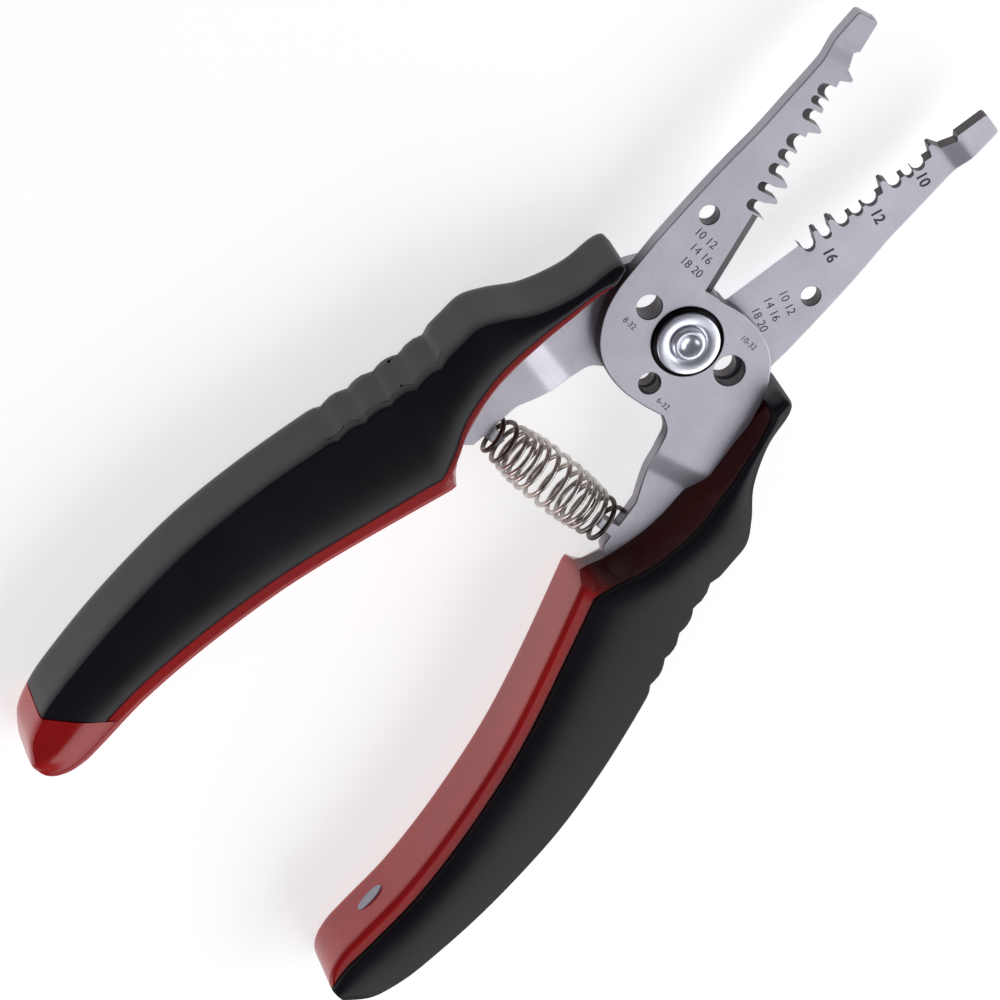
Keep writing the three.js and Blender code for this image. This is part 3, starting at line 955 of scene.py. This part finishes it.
@dataclass
class Pivot:
    """The pivot bolt, its round nut and the two washers, all turned about the pivot's axis."""

    stance: Stance
    bolt_r: float = 3.0
    floor_z: float = 2.25  # floor of the recess in a plate
    clear: float = 0.3
    washer_t: float = 0.4
    washer_r: float = 5.8
    nut_r: float = 5.4
    nut_h: float = 1.25
    head_r: float = 5.3
    head_h: float = 1.6
    segments: int = 112

    def stack(self) -> float:
        """Where the nut or the bolt's head starts, from the meeting plane."""
        return self.floor_z + 2 * self.clear + self.washer_t

    def nut_profile(self) -> Array:
        """The nut: a rounded rim, a broad flat top and a countersunk bore."""
        low, high, r = self.stack(), self.stack() + self.nut_h, self.nut_r
        bore = self.bolt_r + 0.06
        rim = arc((r - 0.24, high - 0.3), 0.24, 0, 76, 6)
        crown = [[4.5, high - 0.03], [3.9, high - 0.07], [3.5, high - 0.16], [3.25, high - 0.36]]
        steps = [[bore, low], [r - 0.12, low], [r, low + 0.12], *rim, *crown, [bore, high - 0.48]]
        return np.vstack([steps, [steps[0]]])

    def bolt_profile(self) -> Array:
        """The bolt: a domed head below, the shank, and an end staked round a hollow bowl."""
        low, top, r = -self.stack(), self.stack() + self.nut_h, self.bolt_r
        under = low - self.head_h
        dome = arc((0, under + 9.2), 9.2, -90, -62, 9)
        head = np.vstack([[[0, under]], dome[1:], [[self.head_r - 0.2, under + 1.12]],
                          arc((self.head_r - 0.25, low - 0.25), 0.25, 0, 90, 4)])
        bowl = arc((0, top + 1.42), 2.25, -27, -90, 12)
        end = [[r, low], [r, top - 0.62], [r - 0.05, top - 0.3], [r - 0.2, top + 0.1],
               [r - 0.42, top + 0.34], [r - 0.7, top + 0.45], *bowl]
        return np.vstack([head, end])

    def washer_profile(self, side: float) -> Array:
        """A flat ring with broken edges."""
        near = self.floor_z + self.clear
        b, w, t, e = self.bolt_r + 0.08, self.washer_r, self.washer_t, 0.08
        ring = np.array([[b, near], [w - e, near], [w, near + e], [w, near + t - e], [w - e, near + t],
                         [b + e, near + t], [b, near + t - e], [b, near]])
        return ring * np.array([1, side])

    def build(self) -> None:
        """Builds the four pieces."""
        centre = tuple(self.stance.pivot)
        zinc = TurnedMetal("turned_zinc", rgb(0.83, 0.845, 0.93), rgb(0.74, 0.755, 0.83), 0.24, 3600.0,
                           centre)
        oxide = TurnedMetal("black_oxide", rgb(0.022, 0.019, 0.023), rgb(0.05, 0.046, 0.055), 0.3, 4200.0,
                            centre)
        bright, black = zinc.material(), oxide.material()
        pieces = (("pivot_nut", self.nut_profile(), bright, "zinc_steel"),
                  ("pivot_bolt", self.bolt_profile(), bright, "zinc_steel"),
                  ("upper_washer", self.washer_profile(1.0), black, "black_steel"),
                  ("lower_washer", self.washer_profile(-1.0), black, "black_steel"))
        for name, profile, material, slot in pieces:
            mesh = Skin().grid(lathed(profile, self.segments)).mesh(name + "_finished", 45.0)
            show(settle(mesh, self.stance, Lever.NEITHER), [material], "upper_lever", slot, name)


# ---------------------------------------------------------------- spring


@dataclass
class ReturnSpring:
    """The barrel spring that opens the jaws; it lies across the handles behind the pivot."""

    stance: Stance
    seat_r: float = 36.0
    seat_angle: float = math.radians(24.2)
    turns: int = 14
    wire_r: float = 0.44
    end_r: tuple = (2.9, 3.4)
    middle_r: float = 4.6
    gap: float = 0.3
    closed_share: float = 0.055
    give: float = 0.14  # a share of the length past each end, for end points that are worked out and not used
    per_turn: int = 40
    around: int = 14

    def reach(self) -> float:
        """Half the length of the coil's centre line."""
        return self.seat_r * math.sin(self.seat_angle) - self.wire_r - self.gap

    def centre_line(self, t: Array) -> Array:
        """The wire's middle: a helix about X whose radius swells as sin(pi t)^0.8 towards the belly."""
        ends = self.end_r[0] + (self.end_r[1] - self.end_r[0]) * t
        radius = ends + (self.middle_r - ends) * np.maximum(np.sin(np.pi * t), 0) ** 0.8
        along = t + self.closed_share * np.sin(4 * np.pi * t) / 2
        angle = 2 * np.pi * self.turns * t
        x = (2 * along - 1) * self.reach()
        y = radius * np.cos(angle) - self.seat_r * math.cos(self.seat_angle)
        return np.stack([x, y, radius * np.sin(angle)], 1)

    def build(self) -> None:
        """Builds the spring."""
        t = np.linspace(0, 1, self.turns * self.per_turn + 1)
        line = self.centre_line(t)
        along = np.gradient(line, axis=0)
        along /= np.linalg.norm(along, axis=1, keepdims=True)
        axis_y = -self.seat_r * math.cos(self.seat_angle)
        out = line - np.column_stack([line[:, 0], np.full(len(t), axis_y), np.zeros(len(t))])
        out -= (out * along).sum(1, keepdims=True) * along
        out /= np.linalg.norm(out, axis=1, keepdims=True)
        side = np.cross(along, out)
        a = np.linspace(0, 2 * math.pi, self.around, endpoint=False)
        ring = out[:, None] * np.cos(a)[:, None] + side[:, None] * np.sin(a)[:, None]
        tube = line[:, None] + self.wire_r * ring
        # painted shade at both ends of the coil, where it sits in the seats
        ends_dark = 1 - smoothstep(np.minimum(t, 1 - t), 0.06, 0.2)
        skin = Skin().grid(tube, np.repeat(ends_dark[:, None], self.around, 1)).cap(tube[0]).cap(tube[-1])
        mesh = settle(skin.mesh("return_spring_finished", 60.0), self.stance, Lever.NEITHER)
        piece = show(mesh, [SpringWire().material()], None, "spring_wire", "return_spring")
        far = self.reach() * (1 + 2 * self.give)
        ends = self.stance.place(np.array([[-far, axis_y, 0], [far, axis_y, 0]]), Lever.NEITHER)
        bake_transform(piece)


# ---------------------------------------------------------------- handles


@dataclass
class Handle:
    """One two-shot handle: a red core along the inner edge and a black grip over the back.

    The outside is a height over the plan. A row runs straight from the inner edge to the back, and the
    grip starts where it crosses the seam.
    """

    stance: Stance
    name: str
    body: str
    lever: Lever
    capped: bool  # whether the core covers the whole end
    sweep: float
    half_z: float = 9.0
    core_z: float = 7.2
    band: float = 2.7
    wall: float = 4.0  # half height of the upright wall at the back edge
    roll: float = 5.0  # how far from the back edge the top starts to fall
    roll_power: float = 4.0
    fall: float = 1.5  # how much lower the crown is at the back edge than at the seam
    cap_y: float = -111.9
    cap_skew: float = 10.6
    seam_gap: float = 0.07
    ledge: float = 0.05  # share of the throat's width that is level beside the seam
    shade: float = 0.94  # how dark the painted shade on the web in the throat is
    tip: tuple = (19.9, -0.3)
    end_y: float = -128.8
    outer: tuple = ((21.2, -3.4), (21.0, -9), (22.6, -16), (25.6, -21.5), (27.2, -25.8), (26.6, -30.5),
                    (25.7, -37), (26.0, -46), (26.68, -60), (26.77, -72), (26.0, -84), (24.07, -95),
                    (21.3, -106), (18, -116), (15.7, -121.5), (12.6, -126.2), (8.6, -128.8))
    inner: tuple = ((5.5, -45.6), (7.4, -60), (8.6, -72), (8.9, -82), (8.3, -95), (6.8, -107),
                    (4.4, -117), (3.45, -121.5), (3.6, -125.2), (5.2, -127.9), (8.6, -128.8))
    throat: tuple = ((18.1, -3.2), (17.2, -6.5), (16.1, -11.5), (14.8, -21), (13.0, -30.5), (9.4, -38.6),
                     (5.4, -43.9))
    seam: tuple = ((14.0, 1.0), (16.4, -1.6), (18.3, -4.0), (18.9, -8), (18.8, -13), (18.6, -19),
                   (17.6, -27.5), (14.6, -36), (11, -41.2), (8.4, -45.4))
    rib_y: tuple = (-57.5, -32.0)
    rib_pitch: float = 5.1
    rib_depth: float = 0.6
    guard_low: float = -3.5  # the inner edge above this belongs to the guard's tip
    sweep_from: float = -44.0  # where the handle's end starts to lean out
    row_count: int = 250
    web_z: float = 1.6  # the web's height over the steel, at the inner edge of the throat
    scoop_power: float = 1.35
    throat_end: tuple = (-44.9, -43.3)  # between these the throat turns into the flat band
    painted_shade_fade: tuple = (-45.5, -41.5)  # between these the painted shade on the web comes in

    def swept(self, line: Array) -> Array:
        """The end of the handle leans out by sweep, growing with the square of the way down."""
        start = self.sweep_from
        share = np.clip((start - line[:, 1]) / (start - self.end_y), 0, None)
        return np.column_stack([line[:, 0] + self.sweep * share**2, line[:, 1]])

    def curves(self) -> tuple[Array, Array, Array]:
        """The inner edge, the back edge and the seam, from the guard's tip to the handle's end."""
        inward = [self.tip, (19.2, -0.62), (18.75, -1.5), *self.throat]
        outward = [self.tip, (20.55, -0.6), (21.0, -1.5), *self.outer]
        down = np.vstack([spline(inward, 160), spline(self.inner, 260)])
        back = spline(outward, 950)
        y = back[:, 1]
        low, high = self.rib_y
        inside_ribs = smoothstep(y, low, low + 1.5) * (1 - smoothstep(y, high - 1.5, high))
        wave = 0.5 - 0.5 * np.cos(2 * np.pi * (y - high) / self.rib_pitch)
        back[:, 0] -= self.rib_depth * inside_ribs * wave**3
        parallel = np.asarray(self.inner[:7]) + np.array([self.band, 0])
        last = [[5.3, -124], [5.3, -131]]
        seam = np.vstack([spline(self.seam, 90), spline(np.vstack([parallel[1:], last]), 200)])
        return self.swept(down), self.swept(back), self.swept(seam)

    def rim(self) -> Array:
        """The edge that the top rolls down to: round the guard's tip and down the back."""
        down, back, _ = self.curves()
        guard = down[down[:, 1] > self.guard_low][::-1]
        return np.vstack([guard, back[1::3]])

    def rows(self) -> Array:
        """Where the rows start on the inner edge, closer together at both ends."""
        t = np.linspace(0, 1, self.row_count)
        eased = t + 0.055 * np.sin(4 * np.pi * t) / 2 - 0.13 * np.sin(2 * np.pi * t)
        y = self.tip[1] + (self.end_y - self.tip[1]) * np.clip(eased, 0, 1)
        return np.sort(np.append(y, self.cap_y))[::-1]

    def skew(self, y: Array) -> Array:
        """How much lower a row ends than it starts: 0 at mid-handle, most at the cap line."""
        rising = self.cap_skew * smoothstep(-y, 78.0, -self.cap_y)
        falling = self.cap_skew * (y - self.end_y) / (self.cap_y - self.end_y)
        return np.where(y > self.cap_y, rising, falling)

    def plan(self) -> dict[str, Array]:
        """The rows in plan: where each starts, ends and meets the seam, as a share of its length."""
        down, back, seam = self.curves()
        y0 = self.rows()
        y1 = y0 - self.skew(y0)

        def at(line: Array, y: Array) -> Array:
            """The line's x at each y; y falls along the line."""
            return np.interp(-y, -line[:, 1], line[:, 0])

        x0, x1 = at(down, y0), at(back, y1)
        x1 = np.maximum(x1, x0)
        share = np.linspace(0, 1, 400)
        x = x0[:, None] + (x1 - x0)[:, None] * share
        y = y0[:, None] + (y1 - y0)[:, None] * share
        beyond = x >= at(seam, y)
        first = np.where(beyond.any(1), beyond.argmax(1), len(share) - 1)
        split = share[first]
        return {"x0": x0, "y0": y0, "x1": x1, "y1": y1, "split": split}

    def point(self, plan: dict[str, Array], share: Array) -> tuple[Array, Array]:
        """The plan's x and y at each row's shares, rows by columns."""
        x = plan["x0"][:, None] + (plan["x1"] - plan["x0"])[:, None] * share
        y = plan["y0"][:, None] + (plan["y1"] - plan["y0"])[:, None] * share
        return x, y

    def rolled(self, x: Array, y: Array) -> Array:
        """Height of the rolled edge: a superellipse of the distance d to the back and the guard's tip.

        z = wall + (half_z - wall) (1 - (1 - d / roll)^p)^(1/p), flat beyond roll.
        """
        points = np.column_stack([x.ravel(), y.ravel()])
        d = distance_to(points, self.rim()).reshape(x.shape)
        t = np.clip(1 - d / self.roll, 0, 1)
        rise = np.maximum(1 - t**self.roll_power, 0) ** (1 / self.roll_power)
        return self.wall + (self.half_z - self.wall) * rise

    def core_height(self, plan: dict[str, Array], share: Array, full: bool) -> Array:
        """Height of the core over its rows.

        Below the guard it is a flat band with a rounded inner edge. In the throat it climbs as
        web_z + (core_z - web_z) t^1.35, and is level over a ledge at the seam. A full section swells
        to the grip's height.
        """
        x, y = self.point(plan, share)
        d = np.abs(x - plan["x0"][:, None])
        edge = 1.0
        band = self.core_z - edge + np.sqrt(np.maximum(edge**2 - np.clip(edge - d, 0, edge) ** 2, 0))
        t = share / np.maximum(plan["split"][:, None], 1e-6)
        climb = np.clip(t / (1 - self.ledge), 0, 1) ** self.scoop_power
        scoop = self.web_z + (self.core_z - self.web_z) * climb
        upper = smoothstep(y, *self.throat_end)
        height = band * (1 - upper) + scoop * upper
        if full:
            height = height + (self.half_z - self.core_z - self.fall * share**1.8) * smoothstep(d, 1.0, 6.0)
        return np.minimum(height, self.rolled(x, y))

    def grip_height(self, plan: dict[str, Array], share: Array) -> Array:
        """Height of the grip: a rounded lip at the seam, a low crown, then the rolled back."""
        x, y = self.point(plan, share)
        d = (share - plan["split"][:, None]) * (plan["x1"] - plan["x0"])[:, None]
        lip = self.core_z - 0.25 + 0.95 * (1 - np.exp(-np.maximum(d, 0) / 0.28))
        crown = (self.half_z - self.core_z - 0.7) * (1 - np.exp(-np.maximum(d, 0) / 2.2))
        across = (share - plan["split"][:, None]) / np.maximum(1 - plan["split"][:, None], 1e-3)
        crown = crown - self.fall * np.clip(across, 0, 1) ** 1.8
        return np.minimum(lip + crown, self.rolled(x, y))

    @staticmethod
    def mirrored(top: Array) -> Array:
        """A closed section from its upper half: the lower half is the same one with z turned round."""
        below = top[:, ::-1] * np.array([1, 1, -1])
        return np.concatenate([top, below[:, 1:-1]], 1)

    def core_rows(self, plan: dict[str, Array], full: bool) -> tuple[Array, Array]:
        """Closed sections of the core, and the painted shade on each point, dark on the web in the throat.

        A section is the inner wall, the top from the inner edge to the seam, and the seam's wall.
        """
        split = np.ones_like(plan["split"]) if full else plan["split"]
        gap = 0 if full else self.seam_gap
        stop = np.maximum(split - gap / np.maximum(plan["x1"] - plan["x0"], 0.2), 0)
        spread = np.concatenate([[0], (1 - np.cos(np.linspace(0.12, 1, 30) * np.pi)) / 2])
        near = np.minimum(np.linspace(0, 1, 7)[1:] ** 1.5 * 0.16, 0.16)
        spread = np.unique(np.concatenate([near, spread]))
        share = stop[:, None] * spread
        z = self.core_height(plan, share, full)
        x, y = self.point(plan, share)
        top = np.stack([x, y, z], -1)
        wall = np.linspace(0, 1, 8)[:-1]
        inner = np.stack([np.repeat(x[:, :1], 7, 1), np.repeat(y[:, :1], 7, 1), z[:, :1] * wall], -1)
        outer = np.stack([np.repeat(x[:, -1:], 4, 1), np.repeat(y[:, -1:], 4, 1),
                          z[:, -1:] * np.linspace(0.75, 0, 4)], -1)
        rows = self.mirrored(np.concatenate([inner, top, outer], 1))
        # the second part is painted shade: dark on the web in the throat, none lower down
        return rows, smoothstep(rows[..., 1], *self.painted_shade_fade) * self.shade

    def grip_rows(self, plan: dict[str, Array]) -> Array:
        """Closed sections of the grip: seam wall, lip, crown, rolled back and its upright wall."""
        width = np.maximum(plan["x1"] - plan["x0"], 0.2)
        start = np.minimum(plan["split"] + self.seam_gap / width, 1)[:, None]
        spread = (1 - np.cos(np.linspace(0, 1, 46) * np.pi)) / 2
        share = start + (1 - start) * spread
        z = self.grip_height(plan, share)
        x, y = self.point(plan, share)
        top = np.stack([x, y, z], -1)
        wall = np.stack([np.repeat(x[:, :1], 4, 1), np.repeat(y[:, :1], 4, 1),
                         z[:, :1] * np.linspace(0, 0.75, 4)], -1)
        outer = np.stack([np.repeat(x[:, -1:], 4, 1), np.repeat(y[:, -1:], 4, 1),
                          z[:, -1:] * np.linspace(0.75, 0, 4)], -1)
        return self.mirrored(np.concatenate([wall, top, outer], 1))

    @staticmethod
    def chosen(plan: dict[str, Array], rows: Array) -> dict[str, Array]:
        """The plan with only those rows."""
        return {key: value[rows] for key, value in plan.items()}

    def core_skin(self, plan: dict[str, Array]) -> Skin:
        """The core's surface, from the guard's tip to the end."""
        red = plan["split"] > 2e-3
        if not self.capped:
            rows, deep = self.core_rows(self.chosen(plan, red), False)
        else:
            above = self.core_rows(self.chosen(plan, red & (plan["y0"] >= self.cap_y)), False)
            below = self.core_rows(self.chosen(plan, plan["y0"] <= self.cap_y), True)
            rows, deep = (np.concatenate(pair) for pair in zip(above, below))
        # deep carries the painted shade onto the core
        return Skin().grid(rows, deep).cap(rows[0]).cap(rows[-1])

    def grip_skin(self, plan: dict[str, Array]) -> Skin:
        """The grip's surface, from the guard to the end or to the cap line."""
        there = plan["split"] < 0.985
        if self.capped:
            there &= plan["y0"] > self.cap_y
        rows = self.grip_rows(self.chosen(plan, there))
        return Skin().grid(rows).cap(rows[0]).cap(rows[-1])

    def build(self, red: bpy.types.Material, black: bpy.types.Material) -> None:
        """Builds the core and the grip."""
        plan = self.plan()
        for part, skin, material, slot in (("core", self.core_skin(plan), red, "red_plastic"),
                                           ("grip", self.grip_skin(plan), black, "black_rubber")):
            mesh = skin.mesh(f"{self.name}_{part}_finished", 38.0)
            show(settle(mesh, self.stance, self.lever), [material], self.body, slot,
                 f"{self.name}_{part}")


@dataclass
class Badge:
    """The blank oval let into the right handle's inner face."""

    stance: Stance
    y: float = -112.5
    length: float = 5.6
    width: float = 3.0
    proud: float = 0.22
    sunk: float = 0.2

    def build(self) -> None:
        """Builds the badge: rings of an ellipse whose height falls off towards a rounded rim.

        It stands on the stretch of the handle's inner edge that it is let into.
        """
        (high_x, high_y), (low_x, low_y) = Handle.inner[5:7]
        x0 = high_x + (low_x - high_x) * (high_y - self.y) / (high_y - low_y)
        lean = math.atan2(high_x - low_x, high_y - low_y)
        rho = np.array([0.0, 0.3, 0.55, 0.72, 0.8, 0.86, 0.93, 0.98, 1.0, 1.0])
        lift = np.array([0.8, 0.8, 0.78, 0.76, 0.7, 1.0, 1.0, 0.85, 0.5, -1.0])
        a = np.linspace(0, 2 * math.pi, 64, endpoint=False)
        along = rho[:, None] * np.cos(a) * self.length / 2
        across = rho[:, None] * np.sin(a) * self.width / 2
        out = np.where(lift > 0, lift * self.proud, -self.sunk)[:, None] * np.ones_like(a)
        c, s = math.cos(lean), math.sin(lean)
        points = np.stack([x0 + along * s - out * c, self.y + along * c + out * s, across], -1)
        skin = Skin().grid(points).cap(points[-1])
        mesh = settle(skin.mesh("right_badge_finished", 40.0), self.stance, Lever.UPPER)
        show(mesh, [BadgeGrey().material()], "upper_lever", "grey_badge", "right_badge")


@dataclass
class Handles:
    """Both handles and the badge on the right one."""

    stance: Stance

    def build(self) -> None:
        """Builds them."""
        red, black = GlossPlastic().material(), SoftGrip().material()
        right = Handle(self.stance, "right", "upper_lever", Lever.UPPER, False, 0.0)
        left = Handle(self.stance, "left", "lower_lever", Lever.LOWER, True, 2.6, ledge=0.3, shade=0.35)
        for handle in (right, left):
            handle.build(red, black)
        Badge(self.stance).build()


# ---------------------------------------------------------------- studio


@dataclass
class Studio:
    """A pale floor, soft lights and the camera."""

    stance: Stance
    azimuth: float = 159.845
    elevation: float = 62.74
    roll: float = -150.71
    distance: float = 1.12128
    aim: tuple = (-4.07, -40.96, 0.0)  # mm from the pivot
    view_angle: float = 8.498
    lights: tuple = (
        # name, direction from the tool, distance, size, radiance
        ("right_panel", (0.8, -0.1, 0.58), 1.2, 1.15, 1.95),
        ("far_key", (0.62, 0.52, 0.59), 1.2, 0.85, 2.2),
        ("low_fill", (-0.22, -0.92, 0.3), 1.3, 0.7, 2.6),
    )
    sky: tuple = (0.9, 0.92, 1.0, 1.0)
    sky_strength: float = 0.15
    table_glow: float = 0.68  # the floor's own light
    floor_r: float = 3.0
    flat_r: float = 2.0  # the floor is flat as far as this
    floor_rise: float = 0.35

    def camera(self) -> None:
        """Places the camera from its bearing, height and roll about its own line of sight."""
        az, el, roll = (math.radians(v) for v in (self.azimuth, self.elevation, self.roll))
        back = np.array([math.cos(el) * math.cos(az), math.cos(el) * math.sin(az), math.sin(el)])
        level = np.cross(-back, [0, 0, 1])
        level /= np.linalg.norm(level)
        steep = np.cross(level, -back)
        up = math.cos(roll) * steep + math.sin(roll) * level
        right = np.cross(-back, up)
        place = self.stance.place(np.array([self.aim]), Lever.NEITHER)[0] + self.distance * back
        data = bpy.data.cameras.new("camera")
        data.angle = math.radians(self.view_angle)
        data.clip_end = 10.0
        camera = bpy.data.objects.new("camera", data)
        bpy.context.scene.collection.objects.link(camera)
        turn = Matrix([[right[k], up[k], back[k], place[k]] for k in range(3)] + [[0, 0, 0, 1]])
        camera.matrix_world = turn
        bpy.context.scene.camera = camera

    def floor(self) -> None:
        """A pale floor that curves up far behind the tool: z rises as the square past a radius."""
        r = np.linspace(0, self.floor_r, 40)
        a = np.linspace(0, 2 * math.pi, 72, endpoint=False)
        rise = self.floor_rise * np.maximum(r - self.flat_r, 0) ** 2
        points = np.stack([r[:, None] * np.cos(a), r[:, None] * np.sin(a), rise[:, None] + 0 * a], -1)
        mesh = Skin().grid(points / MM).mesh("studio_floor", 30.0)
        mesh.transform(Matrix.Scale(MM, 4))
        floor = bpy.data.objects.new("studio_floor", mesh)
        bpy.context.scene.collection.objects.link(floor)
        s = Shader("pale_floor")
        paper = s.noise(14.0, 2.0)
        mesh.materials.append(s.finish({
            "Base Color": s.mix(paper, rgb(0.62, 0.62, 0.63), rgb(0.6, 0.6, 0.61)),
            "Roughness": 0.8,
            "Emission Color": rgb(1.0, 1.0, 1.0),
            "Emission Strength": self.table_glow,
        }))

    def light(self) -> None:
        """Soft panels that face the tool, and an even sky."""
        for name, bearing, far, size, radiance in self.lights:
            data = bpy.data.lights.new(name, "AREA")
            data.shape, data.size = "DISK", size
            data.energy = radiance * math.pi * math.pi * size**2 / 4
            lamp = bpy.data.objects.new(name, data)
            bpy.context.scene.collection.objects.link(lamp)
            back = np.array(bearing) / np.linalg.norm(bearing)
            side = np.cross([0, 0, 1], back)
            side /= np.linalg.norm(side)
            up = np.cross(back, side)
            place = back * far
            rows = [[side[k], up[k], back[k], place[k]] for k in range(3)]
            lamp.matrix_world = Matrix(rows + [[0, 0, 0, 1]])
        world = bpy.data.worlds.new("soft_sky")
        world.use_nodes = True
        sky = world.node_tree.nodes["Background"]
        sky.inputs["Color"].default_value = self.sky
        sky.inputs["Strength"].default_value = self.sky_strength
        bpy.context.scene.world = world
        bpy.context.scene.view_settings.view_transform = "Standard"

    def build(self) -> None:
        """Sets up the studio."""
        self.camera()
        self.floor()
        self.light()


def main() -> None:
    """Builds the tool piece by piece."""
    logging.basicConfig(level=logging.INFO, format="%(message)s")
    joint = frame["joints"][0]
    opening = math.radians(joint["range_deg"][1])
    stance = Stance(np.array(joint["pos_m"], float), opening / 2)
    for part in (Studio(stance), Blades(stance), Pivot(stance), ReturnSpring(stance), Handles(stance)):
        part.build()


if __name__ == "__main__":
    main()
